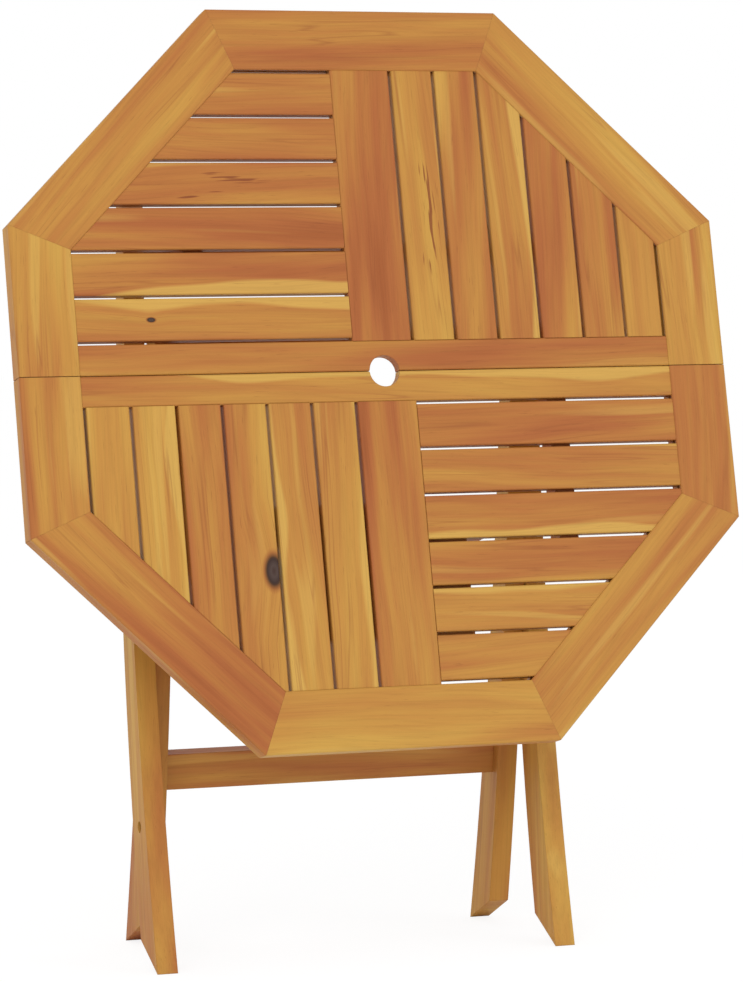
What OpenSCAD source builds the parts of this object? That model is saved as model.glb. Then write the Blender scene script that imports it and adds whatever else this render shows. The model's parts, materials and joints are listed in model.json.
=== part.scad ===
/* [Tabletop] */
// Width of the octagonal top across its flats
across_flats = 850; // [800:5:880]
// Width of each rim board
rim_w = 70; // [60:1:80]
// Thickness of the rim boards
rim_t = 24; // [22:1:28]
// Thickness of the slats and centre boards
slat_t = 14; // [12:1:16]
// How far the slats lie below the rim's face
slat_drop = 1; // [0.5:0.5:2]
// Gap between two slats
slat_gap = 4; // [3:0.5:5]
// Width of the slats, but for the outermost ones, which fill what is left
slat_w = 49; // [48:0.5:50]
// How much narrower the slats of the upper left quarter are
upper_left_less = 1.1; // [0:0.1:1.5]
// Slats in each quarter of the top
slats = 6; // [6:1:6]
// Width of the two boards that run from rim to split
centre_board_w = 71; // [68:1:74]
// Width of the board on each side of the split
split_board_w = 35; // [33:1:37]
// How far the split, the hole and the boards beside them lie above the middle
split_shift = 4.2; // [0:0.1:5]
// How far the wide boards and the hole lie to the right of the middle
centre_shift = 2.8; // [0:0.1:4]
// Hairline gap where the top's two halves meet
split_gap = 0.8; // [0.4:0.2:2]
// Small chamfer on every top edge
edge_chamfer = 1.2; // [0.6:0.2:2]
// Depth of the groove in the rim that takes the slat tongues
groove_depth = 10; // [8:1:14]
// Thickness of the slat tongues
tongue_t = 6; // [5:1:7]
// Diameter of the umbrella hole
umbrella_d = 36; // [34:1:40]

/* [Under the top] */
// Width of each batten
batten_w = 23.4; // [20:0.2:23.4]
// Height of each batten
batten_h = 27; // [24:1:28]
// Space along a batten between its lower end and the slanted rim board
batten_rim_gap = 4.8458; // [3:0.1:30]
// How far the battens reach above the middle of the top
batten_past = 34; // [25:1:34]
// Thickness of the prop board that stands on the inner frame's upper rail
prop_t = 24; // [22:0.5:24]
// Half the width of the prop board
prop_half_w = 115; // [100:5:120]
// Length of each block that holds the prop board
prop_block_l = 42; // [42:1:46]
// Width of each hinge block
block_w = 24; // [20:1:26]
// Length of each hinge block along the top
block_l = 46; // [42:1:50]

/* [Leg frames] */
// Thickness of every leg
leg_t = 24; // [20:1:25]
// Width of a leg at the floor
leg_foot_w = 56; // [50:1:58]
// Width of an outer leg at its upper end
leg_top_w = 29.3; // [28:0.1:31]
// Half the width over the outer legs
outer_half_w = 252.5; // [252:0.5:254]
// Free space between an outer leg and an inner leg
leg_clear = 1; // [0.8:0.1:2]
// How far the leg frames sit to the left of the top's centre
frame_shift = 25; // [0:1:25]
// Diameter of the round rail that the top hinges on
rail_d = 24; // [22:1:24]
// Diameter of the rail ends inside the outer legs
journal_d = 18; // [16:1:18]
// Depth of the rail holes in the legs
socket_depth = 16; // [12:1:18]
// Height of the inner frame's lower rail
stretcher_h = 42; // [36:1:46]
// Thickness of the inner frame's lower rail
stretcher_t = 20; // [18:1:22]

/* [Fold] */
// Lean of the top from upright in the half-folded display position
top_lean = 14.33; // [14:0.1:15]
// Turn of the outer frame from here to fully open
outer_swing = 24; // [23:0.5:25]
// Turn of the inner frame from here to fully open
inner_swing = 26; // [25:0.5:27]
// Height of the pivot bolts
pivot_z = 426.6; // [424:0.2:428]
// Height of the top rail
hinge_z = 799; // [798:0.5:800]
// Distance of the hinge from the middle of the top, along the top
hinge_v = 157.3; // [156:0.1:158]
// Distance of the hinge below the top's face
hinge_drop = 71.1; // [71:0.1:73]
// Height of the inner frame's upper rail
inner_rail_z = 700; // [694:1:700]

/* [Hardware] */
// Diameter of the pivot bolts
bolt_d = 8; // [6:1:8]
// Diameter of the bolt heads
bolt_head_d = 20; // [16:1:22]
// Diameter of the steel pins that the prop board turns on
pin_d = 8; // [6:1:8]
// Diameter of the wood screws
screw_d = 4; // [3:0.5:5]
// Diameter of the screw heads
screw_head_d = 8; // [7:0.5:9]
// Diameter of the sunk nut near the foot of each outer leg
foot_nut_d = 13; // [10:1:14]
// Height of the sunk nut above the floor
foot_nut_z = 156; // [140:1:170]

/* [Clearances] */
// Radial clearance of every turning fit
running_clear = 0.05; // [0.02:0.01:0.09]
// Space between parts that move past each other
travel_clear = 0.3; // [0.3:0.05:0.5]

/* [Hidden] */
reach = 2000;
round_fn = 64;

// Shape of the bent legs: slope at the pivot and radius of the bow
outer_slope = 0.122;
outer_bow_r = 2690;
inner_slope = -0.0948;
inner_bow_r = -4000;
taper_power = 1.6;
taper_h = 878;
leg_steps = 28;
leg_below = -40;
leg_above = 950;
pivot_y = 51.05;

// Clearance over the outer legs' upper ends when the top is level
leg_end_gap = 3;
half = across_flats / 2;
inner_half = half - rim_w;
slat_under = slat_drop + slat_t;
tongue_reach = groove_depth - 1;
groove_floor = -slat_drop - (slat_t + tongue_t) / 2;
corner = half * tan(22.5);
block_under = 88;
inner_half_w = outer_half_w - leg_t - leg_clear;
block_side_gap = 7.5;
block_x = inner_half_w - leg_t - block_side_gap - block_w / 2;
batten_x = outer_half_w - leg_t / 2;
batten_y = batten_x + frame_shift + batten_w / 2 - inner_half * sqrt(2) + batten_rim_gap;
block_screw_from_end = 6;
screw_into = 8;
screw_sink = 3;
washer_t = leg_clear - travel_clear;
washer_d = 18;
nut_d = 15;
nut_h = 7;
head_h = 4;
foot_nut_sink = 4;
foot_nut_depth = 14;
tenon_d = 16;
stretcher_z = 208;
stretcher_tenon_t = 12;
stretcher_tenon_h = 30;
stretcher_tenon_l = 12;

function outer_y(z) = pivot_y + outer_slope * (z - pivot_z) - pow(z - pivot_z, 2) / (2 * outer_bow_r);
function inner_y(z) = pivot_y + inner_slope * (z - pivot_z) - pow(z - pivot_z, 2) / (2 * inner_bow_r);
function inner_lean(z) = atan(inner_slope - (z - pivot_z) / inner_bow_r);
function taper(z) = pow(max(0, 1 - z / taper_h), taper_power);
function leg_w(z) = leg_top_w + (leg_foot_w - leg_top_w) * (z < 0 ? 1 : taper(z));

hinge_y = outer_y(hinge_z);
top_y = hinge_y - hinge_v * sin(top_lean) - hinge_drop * cos(top_lean);
top_z = hinge_z - hinge_v * cos(top_lean) + hinge_drop * sin(top_lean);

// Where the inner frame's upper rail lies under the level top, when open
arm_y = inner_y(inner_rail_z) - pivot_y;
arm_z = inner_rail_z - pivot_z;
rise_y = hinge_y - pivot_y;
rise_z = hinge_z - pivot_z;
seat_v = hinge_v + arm_y * cos(inner_swing) - arm_z * sin(inner_swing)
    - rise_y * cos(outer_swing) - rise_z * sin(outer_swing);
seat_n = -hinge_drop + arm_y * sin(inner_swing) + arm_z * cos(inner_swing)
    + rise_y * sin(outer_swing) - rise_z * cos(outer_swing);

// The prop board's hinge line, its reach down to the rail when it stands, and its seat and lip
prop_set_back = prop_t / 3;
prop_swing_gap = 1.5;
prop_side_gap = 1;
prop_v = seat_v - prop_set_back;
prop_n = -slat_under - prop_t / 2 - prop_swing_gap;
prop_reach = prop_n - seat_n;
prop_seat_r = rail_d / 2 + travel_clear;
prop_relief = 0.5;
prop_lip = 8;
prop_block_w = 24;
prop_block_above = 9;
prop_block_under = 42;
prop_pin_in = 24;
prop_block_x = prop_half_w + prop_side_gap + prop_block_w / 2;
prop_screws = [12.5, 26];

quarters = ["upper_left", "upper_right", "lower_left", "lower_right"];
rims = ["rim_top", "rim_top_right", "rim_right_upper", "rim_right_lower", "rim_bottom_right",
    "rim_bottom", "rim_bottom_left", "rim_left_lower", "rim_left_upper", "rim_top_left"];

// Places its children on the leaning top: X to the right, Y up the top, Z out of its face
module on_top() {
    translate([0, top_y, top_z])
        rotate([90 - top_lean, 0, 0])
            children();
}

// Places its children in the leg frames' own middle plane
module on_frame() {
    translate([-frame_shift, 0, 0])
        children();
}

// A board along X with chamfered upper edges, its face at z = 0 and its near edge at y = 0
module board(l, w, t) {
    c = edge_chamfer;
    rotate([90, 0, 90])
        linear_extrude(l)
            polygon([[0, -t], [w, -t], [w, -c], [w - c, 0], [c, 0], [0, -c]]);
}

// Flat octagon of a given half width, as a prism from z0 up to z1
module octagon(r, z0, z1) {
    translate([0, 0, z0])
        rotate([0, 0, 22.5])
            cylinder(r = r / cos(22.5), h = z1 - z0, $fn = 8);
}

// One mitred rim board, turned to its side of the octagon
module rim_board(side) {
    rotate([0, 0, -45 * side])
        difference() {
            intersection() {
                translate([-corner, inner_half, 0])
                    board(2 * corner, rim_w, rim_t);
                rotate([0, 0, 90])
                    mitre_wedge();
            }
            octagon(inner_half + groove_depth, groove_floor, groove_floor + tongue_t);
        }
}

// The eighth of the plane that one side of the octagon fills
module mitre_wedge() {
    side = half / cos(22.5) + rim_w;
    translate([0, 0, -2 * rim_t])
        linear_extrude(3 * rim_t)
            polygon([[0, 0], [side * cos(22.5), -side * sin(22.5)], [side * cos(22.5), side * sin(22.5)]]);
}

// Keeps the part of its children above the split (1) or below it (-1)
module keep_half(upper) {
    low = upper > 0 ? split_gap / 2 : -split_gap / 2 - reach;
    intersection() {
        children();
        translate([-reach / 2, split_shift + low, -reach / 2])
            cube(reach);
    }
}

module rim(index) {
    side = [0, 1, 2, 2, 3, 4, 5, 6, 6, 7][index];
    upper = [0, 0, 1, -1, 0, 0, 0, -1, 1, 0][index];
    color("peru")
        on_top()
            if (upper == 0)
                rim_board(side);
            else
                keep_half(upper)
                    rim_board(side);
}

// Trims a strip to the octagon: full thickness up to the rim, then a tongue into its groove
module shoulder() {
    intersection() {
        children();
        union() {
            octagon(inner_half, -slat_under, 0);
            octagon(inner_half + tongue_reach, groove_floor, groove_floor + tongue_t);
        }
    }
}

// Distance from the top's middle to the edge of the wide boards (right 1, left -1)
function centre_edge(side) = centre_board_w / 2 + side * centre_shift;
// Distance from the top's middle to the edge of the split boards (upper 1, lower -1)
function split_edge(side) = split_board_w + side * split_shift;
function quarter_slat_w(quarter) = quarter == 0 ? slat_w - upper_left_less : slat_w;
function near_edge(quarter, k) = (quarter == 0 ? split_edge(1) : quarter == 1 ? centre_edge(1)
    : quarter == 2 ? centre_edge(-1) : split_edge(-1))
    + slat_gap + (k - 1) * (quarter_slat_w(quarter) + slat_gap);

// One slat of a quarter; each quarter's slats are square to its neighbours', like a pinwheel
module slat(quarter, k) {
    turn = [180, 90, 270, 0][quarter];
    start = [centre_edge(-1), split_edge(1), split_edge(-1), centre_edge(1)][quarter];
    near = near_edge(quarter, k);
    far = k == slats ? inner_half - slat_gap : near + quarter_slat_w(quarter);
    color(k % 2 == 0 ? "burlywood" : "sandybrown")
        on_top()
            difference() {
                shoulder()
                    rotate([0, 0, turn])
                        translate([start, -far, -slat_drop])
                            board(half, far - near, slat_t);
                screw_holes();
            }
}

// The two boards beside the split run from rim to rim
module split_board(upper) {
    low = upper > 0 ? split_gap / 2 : -split_board_w;
    color("burlywood")
        on_top()
            difference() {
                shoulder()
                    translate([-half, split_shift + low, -slat_drop])
                        board(across_flats, split_board_w - split_gap / 2, slat_t);
                umbrella_hole();
                screw_holes();
            }
}

// The two wide boards run from the split boards to the rim
module centre_board(upper) {
    color("sandybrown")
        on_top()
            shoulder()
                rotate([0, 0, upper > 0 ? 90 : -90])
                    translate([split_edge(upper), -centre_board_w / 2 - upper * centre_shift, -slat_drop])
                        board(half, centre_board_w, slat_t);
}

module umbrella_hole() {
    translate([centre_shift, split_shift, -rim_t])
        cylinder(d = umbrella_d, h = 2 * rim_t, $fn = round_fn);
}

// Middles of the screws, each [x, y, z of the head's face]
block_foot = -block_under;
screw_rows = [split_shift + split_board_w / 2, split_shift - split_board_w / 2,
    -near_edge(3, 1) - slat_w / 2, -near_edge(3, 3) - slat_w / 2];
screw_spots = concat(
    [for (s = [-1, 1]) for (y = screw_rows) [s * batten_x, y, -slat_under - batten_h]],
    [for (s = [-1, 1]) for (e = [-1, 1])
        [s * block_x, hinge_v + e * (block_l / 2 - block_screw_from_end), block_foot]],
    [for (s = [-1, 1]) for (e = prop_screws) [s * prop_block_x, prop_v - e, -prop_block_under]]
);

module screw_shape(grow) {
    for (p = screw_spots) {
        translate([p[0] - frame_shift, p[1], p[2]])
            cylinder(d = screw_d, h = -slat_under + screw_into - p[2], $fn = round_fn / 2);
        translate([p[0] - frame_shift, p[1], p[2] - grow])
            cylinder(d = screw_head_d, h = screw_sink + grow, $fn = round_fn / 2);
    }
}

module screw_holes() {
    screw_shape(1);
}

module top_screws() {
    color("silver")
        on_top()
            screw_shape(0);
}

module batten(side) {
    color("sienna")
        on_top()
            difference() {
                translate([side * batten_x - frame_shift - batten_w / 2, batten_y, -slat_under - batten_h])
                    cube([batten_w, batten_past - batten_y, batten_h]);
                screw_holes();
            }
}

// Hangs under the top and holds the round rail
module hinge_block(side) {
    color("sienna")
        on_top()
            difference() {
                translate([side * block_x - frame_shift - block_w / 2, hinge_v - block_l / 2, -block_under])
                    cube([block_w, block_l, block_under - slat_under]);
                translate([side * block_x - frame_shift - block_w, hinge_v, -hinge_drop])
                    rotate([0, 90, 0])
                        cylinder(d = rail_d, h = 2 * block_w, $fn = round_fn);
                screw_holes();
            }
}

// Places its children on the prop board's hinge line, at x from the leg frames' middle
module on_prop(x) {
    on_top()
        translate([x - frame_shift, prop_v, prop_n])
            children();
}

// Hangs under the slats and holds the prop board's pin
module prop_block(side) {
    color("sienna")
        difference() {
            on_prop(side * prop_block_x - prop_block_w / 2)
                translate([0, prop_block_above - prop_block_l, -prop_block_under - prop_n])
                    cube([prop_block_w, prop_block_l, prop_block_under - slat_under]);
            prop_pin_shape(pin_d, 0);
            on_top()
                screw_holes();
        }
}

module prop_pin_shape(d, more) {
    l = prop_pin_in + prop_side_gap + prop_block_w + more;
    for (side = [-1, 1])
        on_prop(side * (prop_half_w - prop_pin_in + l / 2 - more))
            rotate([0, 90, 0])
                cylinder(d = d, h = l, center = true, $fn = round_fn);
}

module prop_pins() {
    color("silver")
        prop_pin_shape(pin_d, 0);
}

// Lies flat under the slats and swings down to stand on the inner frame's upper rail
module prop_board() {
    color("sienna")
        difference() {
            on_prop(-prop_half_w)
                rotate([90, 0, 90])
                    linear_extrude(2 * prop_half_w)
                        prop_side_view();
            prop_pin_shape(pin_d + 2 * running_clear, 1);
        }
}

// Side view about the hinge line: a rounded end, a round seat for the rail and a stop lip
module prop_side_view() {
    l = prop_reach + prop_lip;
    lip_under = prop_seat_r - prop_set_back;
    difference() {
        union() {
            circle(d = prop_t, $fn = round_fn);
            translate([-l, -prop_t / 2])
                square([l, prop_t]);
        }
        translate([-prop_reach, -prop_set_back])
            circle(r = prop_seat_r, $fn = round_fn);
        translate([-l - 1, -prop_t])
            square([prop_lip + 1, prop_t + lip_under]);
        translate([-l - 1, -prop_t - prop_set_back])
            square([prop_lip + 1 + prop_seat_r + prop_relief, prop_t]);
    }
}

// Side view of a bent, tapering leg, drawn as Y across and Z up
function leg_edge(outer, side) = [
    for (i = [0:leg_steps])
        let (z = leg_below + (leg_above - leg_below) * i / leg_steps)
            [(outer ? outer_y(z) : inner_y(z)) + side * leg_w(z) / 2, z]
];
function flip(list) = [for (i = [len(list) - 1:-1:0]) list[i]];

// A whole leg blank with its outer face at x
module leg_blank(x, outer) {
    translate([x, 0, 0])
        rotate([90, 0, 90])
            linear_extrude(leg_t)
                polygon(concat(leg_edge(outer, -1), flip(leg_edge(outer, 1))));
}

// Everything below the line through y at floor level, tilted by an angle
module below_floor(y, angle) {
    translate([0, y, 0])
        rotate([angle, 0, 0])
            translate([-reach / 2, -reach / 2, -reach])
                cube(reach);
}

module outer_leg(side) {
    x = side > 0 ? outer_half_w - leg_t : -outer_half_w;
    color("chocolate")
        on_frame()
            difference() {
                leg_blank(x, true);
                below_floor(outer_y(0) - leg_w(0) / 2, outer_swing);
                translate([0, hinge_y, hinge_z])
                    rotate([outer_swing, 0, 0])
                        translate([-reach / 2, -reach / 2, hinge_drop - slat_under - leg_end_gap])
                            cube(reach);
                rail_socket(side);
                bolt_hole(bolt_d);
                foot_nut_hole(side);
            }
}

// Blind hole in an outer leg's inner face, in which the round rail turns
module rail_socket(side) {
    x0 = side > 0 ? outer_half_w - leg_t - 1 : -outer_half_w + leg_t - socket_depth;
    translate([x0, hinge_y, hinge_z])
        rotate([0, 90, 0])
            cylinder(d = journal_d + 2 * running_clear, h = socket_depth + 1, $fn = round_fn);
}

module bolt_hole(d) {
    translate([-outer_half_w - 1, pivot_y, pivot_z])
        rotate([0, 90, 0])
            cylinder(d = d, h = 2 * outer_half_w + 2, $fn = round_fn);
}

module foot_nut_hole(side) {
    translate([side * outer_half_w, outer_y(foot_nut_z), foot_nut_z])
        rotate([0, -side * 90, 0])
            translate([0, 0, -1])
                cylinder(d = foot_nut_d, h = foot_nut_depth + 1, $fn = round_fn);
}

module foot_nuts() {
    color("dimgray")
        on_frame()
            for (side = [-1, 1])
                translate([side * (outer_half_w - foot_nut_sink), outer_y(foot_nut_z), foot_nut_z])
                    rotate([0, -side * 90, 0])
                        cylinder(d = foot_nut_d, h = foot_nut_depth - foot_nut_sink, $fn = round_fn);
}

// The round rail turns in both outer legs and carries the hinge blocks
module top_rail() {
    inside = outer_half_w - leg_t - travel_clear;
    tip = outer_half_w - leg_t + socket_depth - 1;
    color("sandybrown")
        on_frame()
            translate([0, hinge_y, hinge_z])
                rotate([0, 90, 0]) {
                    cylinder(d = rail_d, h = 2 * inside, center = true, $fn = round_fn);
                    cylinder(d = journal_d, h = 2 * tip, center = true, $fn = round_fn);
                }
}

module inner_leg(side) {
    x = side > 0 ? inner_half_w - leg_t : -inner_half_w;
    end_r = leg_w(inner_rail_z) / 2;
    color("peru")
        on_frame()
            difference() {
                union() {
                    difference() {
                        leg_blank(x, false);
                        below_floor(inner_y(0) + leg_w(0) / 2, -inner_swing);
                        translate([-reach / 2, -reach / 2, inner_rail_z])
                            cube(reach);
                    }
                    translate([x, inner_y(inner_rail_z), inner_rail_z])
                        rotate([0, 90, 0])
                            cylinder(r = end_r, h = leg_t, $fn = round_fn);
                }
                inner_rail_bar(tenon_d, inner_half_w - leg_t + socket_depth);
                stretcher_tenons();
                bolt_hole(bolt_d + 2 * running_clear);
            }
}

module inner_rail_bar(d, half_l) {
    translate([0, inner_y(inner_rail_z), inner_rail_z])
        rotate([0, 90, 0])
            cylinder(d = d, h = 2 * half_l, center = true, $fn = round_fn);
}

module inner_top_rail() {
    color("sandybrown")
        on_frame() {
            inner_rail_bar(rail_d, inner_half_w - leg_t);
            inner_rail_bar(tenon_d, inner_half_w - leg_t + socket_depth);
        }
}

// A bar across the inner frame, square to the legs at the lower rail
module stretcher_bar(half_l, t, h) {
    translate([0, inner_y(stretcher_z), stretcher_z])
        rotate([-inner_lean(stretcher_z), 0, 0])
            cube([2 * half_l, t, h], center = true);
}

module stretcher_tenons() {
    stretcher_bar(inner_half_w - leg_t + stretcher_tenon_l, stretcher_tenon_t, stretcher_tenon_h);
}

module inner_lower_rail() {
    color("peru")
        on_frame() {
            stretcher_bar(inner_half_w - leg_t, stretcher_t, stretcher_h);
            stretcher_tenons();
        }
}

// A round part on the pivot line, from x0 to x0 + l on the right and mirrored on the left
module on_pivot(x0, l, d) {
    for (side = [-1, 1])
        translate([side > 0 ? x0 : -x0 - l, pivot_y, pivot_z])
            rotate([0, 90, 0])
                cylinder(d = d, h = l, $fn = round_fn);
}

module pivot_bolts() {
    tip = inner_half_w - leg_t - travel_clear - washer_t - nut_h;
    color("silver")
        on_frame() {
            on_pivot(outer_half_w, head_h, bolt_head_d);
            on_pivot(tip, outer_half_w - tip, bolt_d);
        }
}

// Each ring's hole is the bolt's own diameter, so that the ring sits on the bolt
module pivot_ring(x0, l, d) {
    difference() {
        on_pivot(x0, l, d);
        bolt_hole(bolt_d);
    }
}

module pivot_washers() {
    color("silver")
        on_frame() {
            pivot_ring(outer_half_w - leg_t - washer_t, washer_t, washer_d);
            pivot_ring(inner_half_w - leg_t - travel_clear - washer_t, washer_t, washer_d);
        }
}

module pivot_nuts() {
    color("silver")
        on_frame()
            pivot_ring(inner_half_w - leg_t - travel_clear - washer_t - nut_h, nut_h, nut_d);
}

for (i = [0:len(rims) - 1])
    rim(i);
for (q = [0:3])
    for (k = [1:slats])
        slat(q, k);
centre_board(1);  // centre_board_upper
centre_board(-1);  // centre_board_lower
split_board(1);  // split_board_upper
split_board(-1);  // split_board_lower
batten(-1);  // batten_left
batten(1);  // batten_right
hinge_block(-1);  // hinge_block_left
hinge_block(1);  // hinge_block_right
prop_block(-1);  // prop_block_left
prop_block(1);  // prop_block_right
prop_pins();
prop_board();
top_screws();
outer_leg(-1);  // outer_leg_left
outer_leg(1);  // outer_leg_right
top_rail();
pivot_bolts();
pivot_washers();
pivot_nuts();
foot_nuts();
inner_leg(-1);  // inner_leg_left
inner_leg(1);  // inner_leg_right
inner_top_rail();
inner_lower_rail();
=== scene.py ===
"""Dresses the folding garden table: oiled hardwood, zinc plated hardware, studio floor and camera."""
import json
from math import cos, pi, radians, sin

import bpy
from bpy.props import FloatProperty, FloatVectorProperty, PointerProperty
from mathutils import Matrix, Vector

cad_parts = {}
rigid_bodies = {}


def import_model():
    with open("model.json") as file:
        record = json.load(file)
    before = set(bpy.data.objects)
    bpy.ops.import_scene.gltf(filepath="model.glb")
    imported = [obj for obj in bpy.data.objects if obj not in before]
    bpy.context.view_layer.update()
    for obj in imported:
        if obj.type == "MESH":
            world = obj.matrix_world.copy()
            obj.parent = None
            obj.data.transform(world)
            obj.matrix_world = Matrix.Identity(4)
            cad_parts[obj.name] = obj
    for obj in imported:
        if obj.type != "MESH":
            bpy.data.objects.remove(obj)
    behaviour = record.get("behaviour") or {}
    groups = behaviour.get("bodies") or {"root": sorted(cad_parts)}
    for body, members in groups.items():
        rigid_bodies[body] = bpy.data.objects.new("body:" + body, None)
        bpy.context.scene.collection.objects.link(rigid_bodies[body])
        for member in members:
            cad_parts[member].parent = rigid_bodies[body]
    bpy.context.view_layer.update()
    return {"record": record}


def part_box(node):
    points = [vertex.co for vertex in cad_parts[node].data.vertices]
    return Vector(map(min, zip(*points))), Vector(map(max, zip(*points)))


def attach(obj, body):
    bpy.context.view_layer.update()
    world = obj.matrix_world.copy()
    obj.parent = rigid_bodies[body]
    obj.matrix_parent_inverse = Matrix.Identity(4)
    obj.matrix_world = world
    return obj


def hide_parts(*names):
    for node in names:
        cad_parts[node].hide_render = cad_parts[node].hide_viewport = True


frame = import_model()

bl_info = {
    "name": "Folding Garden Table",
    "version": (1, 0, 0),
    "blender": (4, 5, 0),
    "location": "View3D > Sidebar > Garden Table",
    "description": "Finishes an octagonal folding garden table and sets up its studio view",
    "category": "Object",
}

MM = 0.001
MOUNTS = {mount["name"]: mount for mount in frame["record"]["mounts"]}

# The leaning top: across it, up it and out of its face
TOP_X = Vector((1, 0, 0))
TOP_OUT = Vector(MOUNTS["umbrella_hole"]["axis"]).normalized()
TOP_UP = TOP_OUT.cross(TOP_X)

# The picture's size in pixels, and the camera's sensor in millimetres
PICTURE = (743, 982)
SENSOR = 36.0
# Where the camera looks, and how far it then moves to its right and down, in millimetres
AIM = (0, 1.0, 566.6)
AIM_RIGHT = 0.15
AIM_DOWN = 37.74
# Where the lamps point, in metres
LIT_SPOT = (0, 0, 0.55)

# How far along the grain one board's wood lies from the next one's, in metres
WOOD_STEP = 1.7
# How far the legs lean at rest, in degrees
OUTER_LEAN = 7.5
INNER_LEAN = -6.5

# First seed of each group of boards; every board's own wood follows from its seed
RIM_SEED = 1
BOARD_SEED = 20
SLAT_SEED = 30
SEEDS_PER_QUARTER = 8
UNDER_SEED = 70
LEG_SEED = 80
RAIL_SEED = 90
# Share of heartwood in the pieces under the top, and in the rails
UNDER_HEART = 0.80
RAIL_HEART = 0.62

# Corners of the construction screws closer than this belong to one screw, in millimetres
HEAD_REACH = 9
# Sizes of the zinc plated screws, bolts and nuts, in millimetres
SCREW_HEAD_RADIUS = 3.9
SCREW_HEAD_HEIGHT = 2.6
SCREW_SHANK_RADIUS = 1.9
SCREW_LENGTH = 30
BOLT_HEAD_HEIGHT = 4
BOLT_RADIUS = 4.0
BOLT_END_RADIUS = 3.2
BOLT_END_CHAMFER = 0.8
NUT_THICKNESS = 7
NUT_CHAMFER = 0.7
NUT_BORE_RADIUS = 3.95
TURNED_SIDES = 48
# The cup head's outline: height above the shank's end and radius
BOLT_CROWN = ((0, 4.0), (0.6, 9.4), (0.6, 10.0), (1.2, 9.9), (2.3, 8.6), (3.3, 6.0), (3.85, 3.0), (4.0, 0.6))

# Share of heartwood in each slat, counted outwards from the middle of the top
SLAT_HEART = {
    "upper_left": (0.52, 0.66, 0.66, 0.60, 0.56, 0.44),
    "upper_right": (0.46, 0.56, 0.50, 0.50, 0.50, 0.56),
    "lower_left": (0.44, 0.40, 0.56, 0.52, 0.42, 0.42),
    "lower_right": (0.52, 0.50, 0.60, 0.50, 0.46, 0.58),
}
# Boards with a pale sapwood band, and the edge that it follows
SAPWOOD = {
    "slat_upper_left_1": 1, "slat_upper_left_2": -1, "slat_upper_right_3": -1,
    "slat_lower_left_1": -1, "slat_lower_left_2": 1, "slat_lower_left_5": -1, "slat_lower_right_3": -1,
    "slat_lower_right_5": 1, "split_board_lower": 1,
}
# Knots and clusters of dark slivers by board: place along, across and through the board from its
# middle, and size, in metres
KNOTS = {
    "slat_lower_left_3": (((-0.023, -0.019, 0.007), 0.015),),
    "slat_upper_left_1": (((-0.07, -0.002, 0.007), 0.004),),
    "outer_leg_right": (((-0.262, -0.024, 0), 0.006),),
}
FLECKS = {
    "slat_upper_left_4": (((0.012, 0.004, 0.007), 0.060), ((-0.030, -0.010, 0.007), 0.040)),
    "slat_upper_right_1": (((-0.010, -0.006, 0.007), 0.070), ((-0.050, 0.002, 0.007), 0.040)),
}
# Eighths of a turn from the top side to each rim board's own side
RIM_TURNS = {
    "rim_top": 0, "rim_top_right": 1, "rim_right_upper": 2, "rim_right_lower": 2,
    "rim_bottom_right": 3, "rim_bottom": 4, "rim_bottom_left": 5, "rim_left_lower": 6,
    "rim_left_upper": 6, "rim_top_left": 7,
}


def linear(hex_colour):
    """Turns an sRGB hex colour into Blender's linear RGBA."""
    parts = [int(hex_colour[i:i + 2], 16) / 255 for i in (1, 3, 5)]
    return [p / 12.92 if p <= 0.04045 else ((p + 0.055) / 1.055) ** 2.4 for p in parts] + [1.0]


def add_node(tree, kind, values=None, links=None, **settings):
    """Adds a node, sets its settings and socket values, and links its inputs to other sockets."""
    node = tree.nodes.new(kind)
    for name, value in settings.items():
        setattr(node, name, value)
    for socket, value in (values or {}).items():
        node.inputs[socket].default_value = value
    for socket, source in (links or {}).items():
        tree.links.new(source, node.inputs[socket])
    return node


def new_material(name, viewport_colour):
    """Starts an empty node material with its viewport colour set."""
    material = bpy.data.materials.new(name)
    material.use_nodes = True
    material.node_tree.nodes.clear()
    material.diffuse_color = linear(viewport_colour)
    return material


def ramp(tree, factor, stops):
    """Adds a colour ramp with the given (position, sRGB hex or grey level) stops."""
    node = add_node(tree, "ShaderNodeValToRGB", links={"Fac": factor})
    elements = node.color_ramp.elements
    while len(elements) < len(stops):
        elements.new(0.5)
    for element, (position, colour) in zip(elements, stops):
        element.position = position
        if isinstance(colour, str):
            element.color = linear(colour)
        elif isinstance(colour, float):
            element.color = (colour, colour, colour, 1)
        else:
            element.color = (*colour, 1)
    return node.outputs["Color"]


def mix_colour(tree, factor, first, second, blend="MIX"):
    """Mixes two colours; either may be a socket or an RGBA list."""
    node = tree.nodes.new("ShaderNodeMix")
    node.data_type = "RGBA"
    node.blend_type = blend
    for index, source in ((0, factor), (6, first), (7, second)):
        if isinstance(source, bpy.types.NodeSocket):
            tree.links.new(source, node.inputs[index])
        else:
            node.inputs[index].default_value = source
    return node.outputs[2]


def math(tree, operation, first, second=None):
    """Adds a Math node; either operand may be a socket or a number."""
    node = add_node(tree, "ShaderNodeMath", operation=operation)
    for index, source in enumerate((first, second)):
        if isinstance(source, bpy.types.NodeSocket):
            tree.links.new(source, node.inputs[index])
        elif source is not None:
            node.inputs[index].default_value = source
    return node.outputs[0]


def board_place(tree, along, across, centre, seed):
    """Object coordinates turned so that X runs with the grain, Y across the board, in metres."""
    along = along.normalized()
    normal = along.cross(across).normalized()
    across = normal.cross(along)
    turn = Matrix((along, across, normal))
    shift = Vector((seed * WOOD_STEP, 0, 0)) - turn @ centre
    place = add_node(tree, "ShaderNodeTexCoord")
    mapping = add_node(
        tree, "ShaderNodeMapping",
        values={"Location": shift, "Rotation": turn.to_euler("XYZ")},
        links={"Vector": place.outputs["Object"]},
    )
    return mapping.outputs["Vector"]


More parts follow.
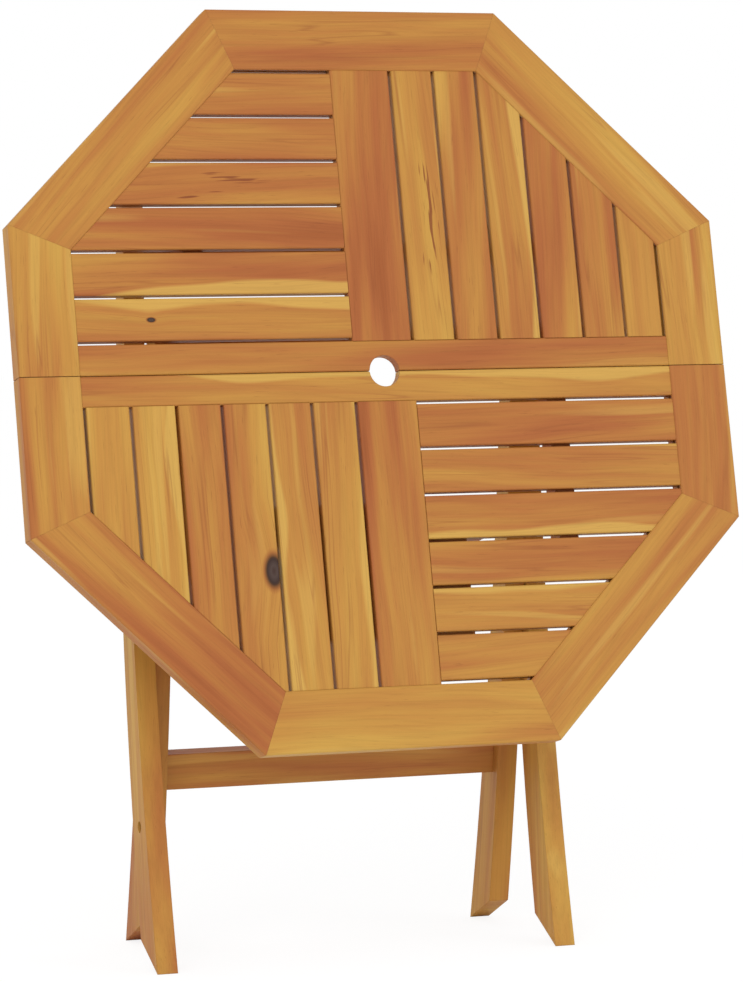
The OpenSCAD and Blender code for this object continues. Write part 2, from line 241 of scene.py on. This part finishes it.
def stretched_noise(tree, vector, scale, detail=3.0, rough=0.5, distortion=0.0):
    """Noise stretched with the grain; scale holds cycles per metre along, across and through."""
    size = add_node(tree, "ShaderNodeVectorMath", values={1: scale}, links={0: vector},
                    operation="MULTIPLY")
    noise = add_node(
        tree, "ShaderNodeTexNoise",
        values={"Scale": 1.0, "Detail": detail, "Roughness": rough, "Distortion": distortion},
        links={"Vector": size.outputs[0]},
    )
    return noise.outputs["Fac"]


def spot_mask(tree, vector, spot, reach):
    """1 at the middle of a spot, falling to 0 at its reach along, across and through, in metres."""
    offset = add_node(tree, "ShaderNodeVectorMath", values={1: spot}, links={0: vector},
                      operation="SUBTRACT")
    scaled = add_node(tree, "ShaderNodeVectorMath", values={1: [1 / r for r in reach]},
                      links={0: offset.outputs[0]}, operation="MULTIPLY")
    length = add_node(tree, "ShaderNodeVectorMath", links={0: scaled.outputs[0]}, operation="LENGTH")
    return math(tree, "MAXIMUM", math(tree, "SUBTRACT", 1.0, length.outputs["Value"]), 0.0)


# Oiled acacia: pale sapwood and orange heartwood in long soft streaks, fibres and open pores
def oiled_wood(name, along, across, centre, seed, heart, finish, knots=(), flecks=(), sap=0):
    material = new_material(name, "#c08845")
    tree = material.node_tree
    tilt = finish.grain_tilt * sin(seed * 2.7)
    along, across = along * cos(tilt) + across * sin(tilt), across * cos(tilt) - along * sin(tilt)
    place = board_place(tree, along, across, centre, seed)
    seed_shift = seed * WOOD_STEP

    # The grain wanders a little and swells round each knot
    wander = stretched_noise(tree, place, (2.6, 7.0, 7.0), detail=2.0)
    sway = math(tree, "MULTIPLY", math(tree, "SUBTRACT", wander, 0.5), finish.grain_sway * 2)
    parts = add_node(tree, "ShaderNodeSeparateXYZ", links={"Vector": place})
    across_grain = math(tree, "ADD", parts.outputs["Y"], sway)
    dark_knots = None
    for (x, y, z), size in knots:
        spot = (x + seed_shift, y, z)
        mask = spot_mask(tree, place, spot, (size * 1.8, size, size))
        wide = spot_mask(tree, place, spot, (size * 5.5, size * 3.2, size * 5))
        across_grain = math(tree, "ADD", across_grain, math(tree, "MULTIPLY", wide, size * 0.8))
        dark_knots = mask if dark_knots is None else math(tree, "MAXIMUM", dark_knots, mask)
    bent = add_node(tree, "ShaderNodeCombineXYZ", links={
        "X": parts.outputs["X"], "Y": across_grain, "Z": parts.outputs["Z"]}).outputs[0]

    # Sapwood and heartwood in broad streaks that taper out along the board
    broad = stretched_noise(tree, bent, (1.9, 17.0, 17.0), detail=1.6, rough=0.45, distortion=0.35)
    mid = stretched_noise(tree, bent, (4.2, 62.0, 40.0), detail=2.0, rough=0.5, distortion=0.2)
    blend = math(tree, "ADD", math(tree, "MULTIPLY", broad, 0.66), math(tree, "MULTIPLY", mid, 0.34))
    blend = math(tree, "ADD", blend, (heart - 0.5) * 0.34)
    colour = ramp(tree, blend, (
        (0.30, "#c39644"), (0.40, "#bc883d"), (0.48, "#b57c39"), (0.56, "#ae6e35"),
        (0.65, "#a55f31"), (0.78, tuple(finish.heartwood)),
    ))

    # A pale sapwood band along one edge, with a wavering and fairly sharp limit, and thin pale tongues
    tongues = stretched_noise(tree, bent, (2.4, 48.0, 30.0), detail=1.5, distortion=0.3)
    pale = ramp(tree, tongues, ((0.61, 0.0), (0.68, 1.0)))
    shown = math(tree, "MULTIPLY", pale, 0.55 * (1.3 - heart))
    if sap:
        drift = stretched_noise(tree, place, (3.4, 4.0, 4.0), detail=1.5)
        limit = math(tree, "MULTIPLY_ADD", drift, 0.075)
        limit.node.inputs[2].default_value = -0.0285
        inward = math(tree, "MULTIPLY_ADD", across_grain, -sap)
        inward.node.inputs[2].default_value = 0.022
        band = math(tree, "MULTIPLY", math(tree, "SUBTRACT", limit, inward), 260.0)
        band.node.use_clamp = True
        shown = math(tree, "MAXIMUM", shown, math(tree, "MULTIPLY", band, 0.8))
    colour = mix_colour(tree, shown, colour, (*finish.sapwood, 1))

    # Thin dark lines where two growths meet
    lines = stretched_noise(tree, bent, (2.2, 75.0, 50.0), detail=1.0, distortion=0.2)
    ridge = math(tree, "ABSOLUTE", math(tree, "SUBTRACT", lines, 0.5))
    thin = ramp(tree, ridge, ((0.0, 1.0), (0.022, 0.0)))
    patchy = stretched_noise(tree, place, (5.0, 20.0, 20.0), detail=1.0)
    thin = math(tree, "MULTIPLY", thin, ramp(tree, patchy, ((0.50, 0.0), (0.60, 0.38))))
    colour = mix_colour(tree, thin, colour, linear("#8c4a26"))

    # Growth rings, seen as soft lines with the grain
    rings = math(tree, "MULTIPLY", across_grain, finish.rings_per_metre)
    uneven = stretched_noise(tree, bent, (1.6, 30.0, 30.0), detail=2.0)
    phase = math(tree, "ADD", math(tree, "ADD", rings, math(tree, "MULTIPLY", uneven, 9.0)), seed)
    wave = math(tree, "SINE", math(tree, "MULTIPLY", phase, 2 * pi))
    level = math(tree, "ADD", math(tree, "MULTIPLY", wave, 0.5), 0.5)
    ring_tone = ramp(tree, level, ((0.0, 1.0), (0.7, 0.985), (1.0, 0.90)))
    colour = mix_colour(tree, finish.ring_strength, colour, ring_tone, "MULTIPLY")

    # Fibres about 1.5 mm apart, drawn coarser than real ones so that they show, and short dark pores
    fibres = stretched_noise(tree, bent, (12.0, 640.0, 640.0), detail=4.0, rough=0.65)
    fibre_tone = ramp(tree, fibres, ((0.25, 0.84), (0.55, 1.0)))
    colour = mix_colour(tree, 0.7, colour, fibre_tone, "MULTIPLY")
    pores = stretched_noise(tree, bent, (42.0, 900.0, 900.0), detail=2.0)
    pore_mask = ramp(tree, pores, ((0.66, 0.0), (0.74, 1.0)))
    colour = mix_colour(tree, math(tree, "MULTIPLY", pore_mask, 0.3), colour, linear("#6d3a1c"))
    streaks = stretched_noise(tree, bent, (3.0, 110.0, 60.0), detail=1.0)
    streak_mask = ramp(tree, streaks, ((0.70, 0.0), (0.82, 1.0)))
    colour = mix_colour(tree, math(tree, "MULTIPLY", streak_mask, 0.4), colour, linear("#8a4a22"))

    # Clusters of dark slivers where the grain closed round small wounds
    for (x, y, z), size in flecks:
        near = spot_mask(tree, place, (x + seed_shift, y, z), (size, size * 0.24, size))
        slivers = stretched_noise(tree, bent, (20.0, 300.0, 90.0), detail=1.5, rough=0.55)
        lifted = math(tree, "ADD", slivers, math(tree, "MULTIPLY", near, 0.14))
        sharp = ramp(tree, lifted, ((0.63, 0.0), (0.71, 1.0)))
        shown = math(tree, "MULTIPLY", sharp, math(tree, "MINIMUM", math(tree, "MULTIPLY", near, 2.5), 0.85))
        colour = mix_colour(tree, shown, colour, linear("#7d3f20"))
    if dark_knots is not None:
        knot_tone = ramp(tree, dark_knots, (
            (0.0, "#a5652f"), (0.22, "#8c4f26"), (0.42, "#2e1a14"), (0.75, "#4a3a34"), (1.0, "#3a241c")))
        knot_edge = ramp(tree, dark_knots, ((0.0, 0.0), (0.25, 0.75), (0.5, 1.0)))
        colour = mix_colour(tree, knot_edge, colour, knot_tone)

    # Satin oil over fibres that stand a little proud, with softened edges
    gloss = add_node(tree, "ShaderNodeMapRange", links={"Value": fibres}, values={
        "From Min": 0.3, "From Max": 0.7, "To Min": 0.58, "To Max": 0.44}).outputs[0]
    edge = add_node(tree, "ShaderNodeBevel", samples=6, values={"Radius": finish.edge_radius})
    bump = add_node(tree, "ShaderNodeBump", values={"Strength": 0.2, "Distance": 0.0006},
                    links={"Height": fibres, "Normal": edge.outputs[0]})
    shader = add_node(tree, "ShaderNodeBsdfPrincipled", values={"IOR": 1.46, "Specular IOR Level": 0.25},
                      links={"Base Color": colour, "Roughness": gloss, "Normal": bump.outputs[0]})
    add_node(tree, "ShaderNodeOutputMaterial", links={"Surface": shader.outputs[0]})
    return material


# Zinc plated steel: pale grey, slightly blotched by the plating bath
def zinc_steel(name, tone="#b9b8b2", roughness=0.34):
    material = new_material(name, tone)
    tree = material.node_tree
    place = add_node(tree, "ShaderNodeTexCoord")
    blotch = add_node(tree, "ShaderNodeTexNoise", values={"Scale": 260.0, "Detail": 4.0},
                      links={"Vector": place.outputs["Object"]})
    colour = mix_colour(tree, blotch.outputs["Fac"], linear(tone), linear("#8f8e88"))
    rough = add_node(tree, "ShaderNodeMapRange", links={"Value": blotch.outputs["Fac"]},
                     values={"To Min": roughness - 0.06, "To Max": roughness + 0.10}).outputs[0]
    shader = add_node(tree, "ShaderNodeBsdfPrincipled", values={"Metallic": 1.0},
                      links={"Base Color": colour, "Roughness": rough})
    add_node(tree, "ShaderNodeOutputMaterial", links={"Surface": shader.outputs[0]})
    return material


def middle(node):
    low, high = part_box(node)
    return (Vector(low) + Vector(high)) / 2


def finish_node(node, material):
    """Gives every slot of a construction node one finish."""
    slots = bpy.data.objects[node].material_slots
    for slot in slots:
        slot.material = material


def on_top(angle):
    """Directions with and across the grain of a board that is turned by an angle on the top."""
    along = TOP_X * cos(angle) + TOP_UP * sin(angle)
    return along, TOP_OUT.cross(along)


class TableFinish(bpy.types.PropertyGroup):
    sapwood: FloatVectorProperty(
        name="Sapwood", description="Palest streaks of the oiled wood", subtype="COLOR",
        default=linear("#cba14f")[:3], min=0, max=1)
    heartwood: FloatVectorProperty(
        name="Heartwood", description="Darkest broad streaks of the oiled wood", subtype="COLOR",
        default=linear("#944f26")[:3], min=0, max=1)
    grain_sway: FloatProperty(
        name="Grain sway", description="How far the grain wanders across a board", unit="LENGTH",
        default=12 * MM, min=0, max=30 * MM)
    grain_tilt: FloatProperty(
        name="Grain tilt", description="Most that the grain runs out of a board's length", subtype="ANGLE",
        default=radians(2.2), min=0, max=radians(8))
    rings_per_metre: FloatProperty(
        name="Rings per metre", description="Growth rings across one metre of board",
        default=120, min=20, max=600)
    ring_strength: FloatProperty(
        name="Ring strength", description="How clearly the growth rings show", subtype="FACTOR",
        default=0.45, min=0, max=1)
    edge_radius: FloatProperty(
        name="Edge radius", description="Softening of every sawn edge", unit="LENGTH",
        default=1.2 * MM, min=0.1 * MM, max=4 * MM)


class StudioSettings(bpy.types.PropertyGroup):
    distance: FloatProperty(
        name="Camera distance", description="From the camera to the middle of the table", unit="LENGTH",
        default=4.679, min=2, max=12)
    azimuth: FloatProperty(
        name="Azimuth", description="How far round to the left the camera stands", subtype="ANGLE",
        default=radians(20.214), min=-pi, max=pi)
    elevation: FloatProperty(
        name="Elevation", description="How far above level the camera stands", subtype="ANGLE",
        default=radians(4.643), min=-pi / 2, max=pi / 2)
    focal_pixels: FloatProperty(
        name="Focal length in pixels", description="Perspective of the picture",
        default=4097.6, min=500, max=9000)
    key_power: FloatProperty(
        name="Key light", description="Strength of the large front light", unit="POWER",
        default=62, min=0, max=500)
    fill_power: FloatProperty(
        name="Fill light", description="Strength of the light from the right", unit="POWER",
        default=22, min=0, max=500)
    sky: FloatProperty(
        name="Sky", description="Strength of the even light from all round", default=0.82, min=0, max=3)


class TABLE_OT_top_boards(bpy.types.Operator):
    """Finishes the rim, the centre boards and the slats of the top"""
    bl_idname = "garden_table.top_boards"
    bl_label = "Top Boards"

    def execute(self, context):
        finish = context.scene.table_finish
        for index, (node, side) in enumerate(RIM_TURNS.items()):
            along, across = on_top(radians(-45 * side))
            heart = 0.45 + 0.05 * sin(index * 2.3)
            wood = oiled_wood(f"oiled_{node}", along, across, middle(node), RIM_SEED + index, heart, finish)
            finish_node(node, wood)
        for index, (node, angle, heart) in enumerate((
                ("centre_board_upper", 90, 0.80), ("centre_board_lower", 90, 0.74),
                ("split_board_upper", 0, 0.68), ("split_board_lower", 0, 0.56))):
            along, across = on_top(radians(angle))
            wood = oiled_wood(f"oiled_{node}", along, across, middle(node), BOARD_SEED + index, heart,
                              finish, sap=SAPWOOD.get(node, 0))
            finish_node(node, wood)
        for row, (quarter, hearts) in enumerate(SLAT_HEART.items()):
            along, across = on_top(0 if quarter in ("upper_left", "lower_right") else pi / 2)
            for index, heart in enumerate(hearts):
                node = f"slat_{quarter}_{index + 1}"
                marks = KNOTS.get(node, ()), FLECKS.get(node, ()), SAPWOOD.get(node, 0)
                seed = SLAT_SEED + row * SEEDS_PER_QUARTER + index
                wood = oiled_wood(f"oiled_{node}", along, across, middle(node), seed, heart, finish, *marks)
                finish_node(node, wood)
        return {"FINISHED"}


class TABLE_OT_under_frame(bpy.types.Operator):
    """Finishes the battens, the hinge blocks and the prop board under the top"""
    bl_idname = "garden_table.under_frame"
    bl_label = "Under Frame"

    def execute(self, context):
        finish = context.scene.table_finish
        for index, (node, angle) in enumerate((
                ("batten_left", 90), ("batten_right", 90), ("hinge_block_left", 90),
                ("hinge_block_right", 90), ("prop_block_left", 90), ("prop_block_right", 90),
                ("prop_board", 0))):
            along, across = on_top(radians(angle))
            wood = oiled_wood(f"oiled_{node}", along, across, middle(node), UNDER_SEED + index,
                              UNDER_HEART, finish)
            finish_node(node, wood)
        return {"FINISHED"}


class TABLE_OT_leg_frames(bpy.types.Operator):
    """Finishes the bowed legs and the rails of both leg frames"""
    bl_idname = "garden_table.leg_frames"
    bl_label = "Leg Frames"

    def execute(self, context):
        finish = context.scene.table_finish
        legs = (
            ("outer_leg_left", OUTER_LEAN, 0.28), ("outer_leg_right", OUTER_LEAN, 0.26),
            ("inner_leg_left", INNER_LEAN, 0.56), ("inner_leg_right", INNER_LEAN, 0.30),
        )
        for index, (node, lean, heart) in enumerate(legs):
            along = Vector((0, sin(radians(lean)), cos(radians(lean))))
            across = Vector((0, cos(radians(lean)), -sin(radians(lean))))
            wood = oiled_wood(f"oiled_{node}", along, across, middle(node), LEG_SEED + index, heart,
                              finish, KNOTS.get(node, ()))
            finish_node(node, wood)
        for index, node in enumerate(("top_rail", "inner_top_rail", "inner_lower_rail")):
            wood = oiled_wood(f"oiled_{node}", TOP_X, Vector((0, 0, 1)), middle(node), RAIL_SEED + index,
                              RAIL_HEART, finish)
            finish_node(node, wood)
        return {"FINISHED"}


def turned_mesh(name, rings, closed, places, material):
    """Joins copies of a part made of rings; each ring is a height and a radius for every side."""
    verts, faces = [], []
    for start, axis in places:
        turn = Vector((0, 0, 1)).rotation_difference(axis).to_matrix()
        first, sides = len(verts), len(rings[0][1])
        for height, radii in rings:
            for index, radius in enumerate(radii):
                angle = 2 * pi * index / sides
                verts.append(start + turn @ Vector((radius * cos(angle), radius * sin(angle), height)))
        pairs = len(rings) if closed else len(rings) - 1
        for ring in range(pairs):
            near, far = first + ring * sides, first + (ring + 1) % len(rings) * sides
            for index in range(sides):
                after = (index + 1) % sides
                faces.append((near + index, near + after, far + after, far + index))
        if not closed:
            faces.append([first + index for index in reversed(range(sides))])
            faces.append([first + pairs * sides + index for index in range(sides)])
    mesh = bpy.data.meshes.new(name)
    mesh.from_pydata(verts, [], faces)
    mesh.materials.append(material)
    return mesh


def add_piece(mesh, body, slot, *nodes):
    """Links a finished mesh as a piece that rides on a body and stands for construction nodes."""
    piece = bpy.data.objects.new(mesh.name, mesh)
    bpy.context.collection.objects.link(piece)
    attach(piece, body)
    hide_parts(*nodes)
    return piece


def screw_heads():
    """Middles of the screw heads' outer faces, read from the construction screws."""
    found = []
    for vertex in bpy.data.objects["top_screws"].data.vertices:
        flat = Vector((vertex.co.dot(TOP_X), vertex.co.dot(TOP_UP)))
        out = vertex.co.dot(TOP_OUT)
        for spot in found:
            if (spot[0] - flat).length < HEAD_REACH * MM:
                spot[1].append(flat)
                spot[2] = min(spot[2], out)
                break
        else:
            found.append([flat, [flat], out])
    heads = []
    for _, flats, out in found:
        across = (min(f.x for f in flats) + max(f.x for f in flats)) / 2
        up = (min(f.y for f in flats) + max(f.y for f in flats)) / 2
        heads.append(TOP_X * across + TOP_UP * up + TOP_OUT * out)
    return heads


def random_output(node):
    """The one Value output that a random value node shows for its data type."""
    return next(socket for socket in node.outputs if socket.enabled and socket.name == "Value")


def screw_tree():
    """Builds a cross-head wood screw on every point of a mesh, each turned at random."""
    tree = bpy.data.node_groups.new("cross_head_screws", "GeometryNodeTree")
    for name, kind in (("Heads", "Geometry"), ("Head Radius", "Float"), ("Head Height", "Float"),
                       ("Shank Radius", "Float"), ("Shank Length", "Float"), ("Facing", "Rotation"),
                       ("Finish", "Material")):
        tree.interface.new_socket(name, in_out="INPUT", socket_type=f"NodeSocket{kind}")
    tree.interface.new_socket("Screws", in_out="OUTPUT", socket_type="NodeSocketGeometry")
    given = tree.nodes.new("NodeGroupInput").outputs

    def cylinder(radius, depth, sides):
        node = add_node(tree, "GeometryNodeMeshCylinder", values={"Vertices": sides},
                        links={"Radius": radius, "Depth": depth})
        down = add_node(tree, "ShaderNodeCombineXYZ", links={"Z": math(tree, "MULTIPLY", depth, -0.5)})
        return add_node(tree, "GeometryNodeTransform", links={
            "Geometry": node.outputs["Mesh"], "Translation": down.outputs[0]}).outputs[0]

    long = math(tree, "MULTIPLY", given["Head Radius"], 1.15)
    thin = math(tree, "MULTIPLY", given["Head Radius"], 0.26)
    deep = given["Head Height"]
    bars = []
    for size in ((long, thin), (thin, long)):
        box = add_node(tree, "ShaderNodeCombineXYZ", links={"X": size[0], "Y": size[1], "Z": deep})
        bars.append(add_node(tree, "GeometryNodeMeshCube", links={"Size": box.outputs[0]}).outputs["Mesh"])
    cut = tree.nodes.new("GeometryNodeMeshBoolean")
    cut.operation = "DIFFERENCE"
    head = cylinder(given["Head Radius"], given["Head Height"], 32)
    tree.links.new(head, cut.inputs[0])
    for bar in bars:
        tree.links.new(bar, cut.inputs[1])
    shank = cylinder(given["Shank Radius"], given["Shank Length"], 16)
    both = tree.nodes.new("GeometryNodeJoinGeometry")
    for part in (cut.outputs[0], shank):
        tree.links.new(part, both.inputs[0])
    spin = add_node(tree, "FunctionNodeRandomValue", values={"Max": 2 * pi, "Seed": 7}, data_type="FLOAT")
    spin_turn = add_node(tree, "FunctionNodeAxisAngleToRotation", links={"Angle": random_output(spin)})
    turn = add_node(tree, "FunctionNodeRotateRotation", rotation_space="LOCAL", links={
        "Rotation": given["Facing"], "Rotate By": spin_turn.outputs[0]})
    points = add_node(tree, "GeometryNodeMeshToPoints", links={"Mesh": given["Heads"]})
    set_out = add_node(tree, "GeometryNodeInstanceOnPoints", links={
        "Points": points.outputs[0], "Instance": both.outputs[0], "Rotation": turn.outputs[0]})
    real = add_node(tree, "GeometryNodeRealizeInstances", links={"Geometry": set_out.outputs[0]})
    finish = add_node(tree, "GeometryNodeSetMaterial", links={
        "Geometry": real.outputs[0], "Material": given["Finish"]})
    add_node(tree, "NodeGroupOutput", links={0: finish.outputs[0]})
    return tree


def bake_screws(heads, finish):
    """Runs the screw tree on the head places and returns the result as a plain mesh."""
    mesh = bpy.data.meshes.new("screw_places")
    mesh.from_pydata(heads, [], [])
    holder = bpy.data.objects.new("screw_places", mesh)
    bpy.context.collection.objects.link(holder)
    modifier = holder.modifiers.new("screws", "NODES")
    modifier.node_group = screw_tree()
    facing = Vector((0, 0, 1)).rotation_difference(-TOP_OUT).to_euler()
    values = {"Head Radius": SCREW_HEAD_RADIUS * MM, "Head Height": SCREW_HEAD_HEIGHT * MM,
              "Shank Radius": SCREW_SHANK_RADIUS * MM, "Shank Length": SCREW_LENGTH * MM,
              "Facing": facing, "Finish": finish}
    for item in modifier.node_group.interface.items_tree:
        if item.name in values:
            modifier[item.identifier] = values[item.name]
    graph = bpy.context.evaluated_depsgraph_get()
    baked = bpy.data.meshes.new_from_object(holder.evaluated_get(graph))
    baked.name = "cross_head_screws"
    holder.modifiers.remove(modifier)
    bpy.data.objects.remove(holder)
    return baked


class TABLE_OT_hardware(bpy.types.Operator):
    """Makes the pivot bolts, nuts and wood screws, and finishes the washers, pins and foot nuts"""
    bl_idname = "garden_table.hardware"
    bl_label = "Hardware"

    def execute(self, context):
        plated = zinc_steel("zinc_plated_steel")
        for node in ("pivot_washers", "prop_pins"):
            finish_node(node, plated)
        finish_node("foot_nuts", zinc_steel("darkened_steel", "#4a4038", 0.55))
        self.pivots(plated)
        add_piece(bake_screws(screw_heads(), plated), "tabletop", "zinc_steel", "top_screws")
        return {"FINISHED"}

    # Cup-head bolts with hex nuts; each part's ends are chamfered or rounded
    def pivots(self, plated):
        low, high = (Vector(corner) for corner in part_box("pivot_bolts"))
        nut_low, nut_high = (Vector(corner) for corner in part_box("pivot_nuts"))
        mid = (low + high) / 2
        sides = TURNED_SIDES
        length = BOLT_HEAD_HEIGHT * MM
        ends = [(Vector((low.x + length, mid.y, mid.z)), Vector((-1, 0, 0))),
                (Vector((high.x - length, mid.y, mid.z)), Vector((1, 0, 0)))]
        shank = nut_low.x - low.x - length
        rings = [(-shank, BOLT_END_RADIUS * MM), (-shank + BOLT_END_CHAMFER * MM, BOLT_RADIUS * MM)]
        rings += [(height * MM, radius * MM) for height, radius in BOLT_CROWN]
        heads = turned_mesh("cup_head_bolts", [(h, [r] * sides) for h, r in rings], False, ends, plated)
        add_piece(heads, "outer_frame", "zinc_steel", "pivot_bolts")
        corner = (nut_high.z - nut_low.z) / 2
        flat = corner * cos(pi / 6)
        hexagon = [flat / cos((2 * pi * i / sides + pi / 6) % (pi / 3) - pi / 6) for i in range(sides)]
        eased = [min(radius, flat * 1.04) for radius in hexagon]
        thick = NUT_THICKNESS * MM
        ease = NUT_CHAMFER * MM
        bore = [NUT_BORE_RADIUS * MM] * sides
        rings = [(0, bore), (0, eased), (ease, hexagon), (thick - ease, hexagon), (thick, eased),
                 (thick, bore)]
        places = [(Vector((nut_low.x, mid.y, mid.z)), Vector((1, 0, 0))),
                  (Vector((nut_high.x, mid.y, mid.z)), Vector((-1, 0, 0)))]
        nuts = turned_mesh("hex_nuts", rings, True, places, plated)
        add_piece(nuts, "outer_frame", "zinc_steel", "pivot_nuts")


class TABLE_OT_stage(bpy.types.Operator):
    """Sets up the pale floor, the lights and the camera"""
    bl_idname = "garden_table.stage"
    bl_label = "Stage"

    def execute(self, context):
        scene = context.scene
        studio = scene.studio_settings
        self.floor()
        self.sky(scene, studio.sky)
        self.lamp("key", (-2.2, -3.4, 3.0), 2.6, studio.key_power)
        self.lamp("fill", (3.0, -2.2, 1.6), 2.2, studio.fill_power)
        self.camera(scene, studio)
        scene.view_settings.view_transform = "Standard"
        return {"FINISHED"}

    def floor(self):
        mesh = bpy.data.meshes.new("floor")
        size = 12
        corners = [(-size, -size, 0), (size, -size, 0), (size, size, 0), (-size, size, 0)]
        mesh.from_pydata(corners, [], [(0, 1, 2, 3)])
        floor = bpy.data.objects.new("floor", mesh)
        bpy.context.collection.objects.link(floor)
        mesh.materials.append(self.floor_paint())

    # White painted floor: lit by the lamps, with a plain white glow that only the camera sees
    def floor_paint(self):
        material = new_material("white_floor_paint", "#ffffff")
        tree = material.node_tree
        place = add_node(tree, "ShaderNodeTexCoord")
        grit = add_node(tree, "ShaderNodeTexNoise", values={"Scale": 3.0},
                        links={"Vector": place.outputs["Object"]})
        paint = mix_colour(tree, grit.outputs["Fac"], linear("#ffffff"), linear("#fbfbfb"))
        matte = add_node(tree, "ShaderNodeBsdfDiffuse", links={"Color": paint})
        glow = add_node(tree, "ShaderNodeEmission", values={"Color": linear("#ffffff"), "Strength": 1.04})
        path = add_node(tree, "ShaderNodeLightPath")
        share = math(tree, "MULTIPLY", path.outputs["Is Camera Ray"], 0.82)
        seen = add_node(tree, "ShaderNodeMixShader",
                        links={0: share, 1: matte.outputs[0], 2: glow.outputs[0]})
        add_node(tree, "ShaderNodeOutputMaterial", links={"Surface": seen.outputs[0]})
        return material

    def sky(self, scene, strength):
        world = bpy.data.worlds.new("studio_sky")
        world.use_nodes = True
        tree = world.node_tree
        tree.nodes.clear()
        path = add_node(tree, "ShaderNodeLightPath")
        seen = math(tree, "MAXIMUM", path.outputs["Is Camera Ray"], path.outputs["Is Glossy Ray"])
        seen = math(tree, "MAXIMUM", seen, path.outputs["Is Transmission Ray"])
        soft = add_node(tree, "ShaderNodeBackground",
                        values={"Color": linear("#ffffff"), "Strength": strength})
        white = add_node(tree, "ShaderNodeBackground",
                         values={"Color": linear("#ffffff"), "Strength": 1.0})
        both = add_node(tree, "ShaderNodeMixShader",
                        links={0: seen, 1: soft.outputs[0], 2: white.outputs[0]})
        add_node(tree, "ShaderNodeOutputWorld", links={"Surface": both.outputs[0]})
        scene.world = world

    def lamp(self, name, place, size, power):
        light = bpy.data.lights.new(name, "AREA")
        light.energy = power
        light.size = size
        lamp = bpy.data.objects.new(name, light)
        lamp.location = place
        lamp.rotation_euler = (Vector(LIT_SPOT) - Vector(place)).to_track_quat("-Z", "Y").to_euler()
        bpy.context.collection.objects.link(lamp)

    def camera(self, scene, studio):
        turn, lift = studio.azimuth, studio.elevation
        right = Vector((cos(turn), -sin(turn), 0))
        back = Vector((-sin(turn) * cos(lift), -cos(turn) * cos(lift), sin(lift)))
        up = back.cross(right)
        aim = Vector(AIM) * MM
        centre = aim + right * AIM_RIGHT * MM - up * AIM_DOWN * MM + back * studio.distance
        data = bpy.data.cameras.new("camera")
        data.sensor_width = SENSOR
        data.lens = studio.focal_pixels * SENSOR / max(PICTURE)
        camera = bpy.data.objects.new("camera", data)
        camera.matrix_world = Matrix.Translation(centre) @ Matrix((right, up, back)).transposed().to_4x4()
        bpy.context.collection.objects.link(camera)
        scene.camera = camera


class TABLE_PT_panel(bpy.types.Panel):
    bl_label = "Garden Table"
    bl_idname = "TABLE_PT_panel"
    bl_space_type = "VIEW_3D"
    bl_region_type = "UI"
    bl_category = "Garden Table"

    def draw(self, context):
        layout = self.layout
        for settings in (context.scene.table_finish, context.scene.studio_settings):
            for name in settings.bl_rna.properties.keys():
                if name not in {"rna_type", "name"}:
                    layout.prop(settings, name)
        for operator in STEPS:
            layout.operator(operator.bl_idname)


STEPS = (
    TABLE_OT_top_boards, TABLE_OT_under_frame, TABLE_OT_leg_frames, TABLE_OT_hardware, TABLE_OT_stage,
)
CLASSES = (TableFinish, StudioSettings, *STEPS, TABLE_PT_panel)


def register():
    for cls in CLASSES:
        bpy.utils.register_class(cls)
    bpy.types.Scene.table_finish = PointerProperty(type=TableFinish)
    bpy.types.Scene.studio_settings = PointerProperty(type=StudioSettings)


def unregister():
    del bpy.types.Scene.studio_settings
    del bpy.types.Scene.table_finish
    for cls in reversed(CLASSES):
        bpy.utils.unregister_class(cls)


def main():
    register()
    bpy.ops.garden_table.stage()
    bpy.ops.garden_table.top_boards()
    bpy.ops.garden_table.under_frame()
    bpy.ops.garden_table.leg_frames()
    bpy.ops.garden_table.hardware()


if __name__ == "__main__":
    main()
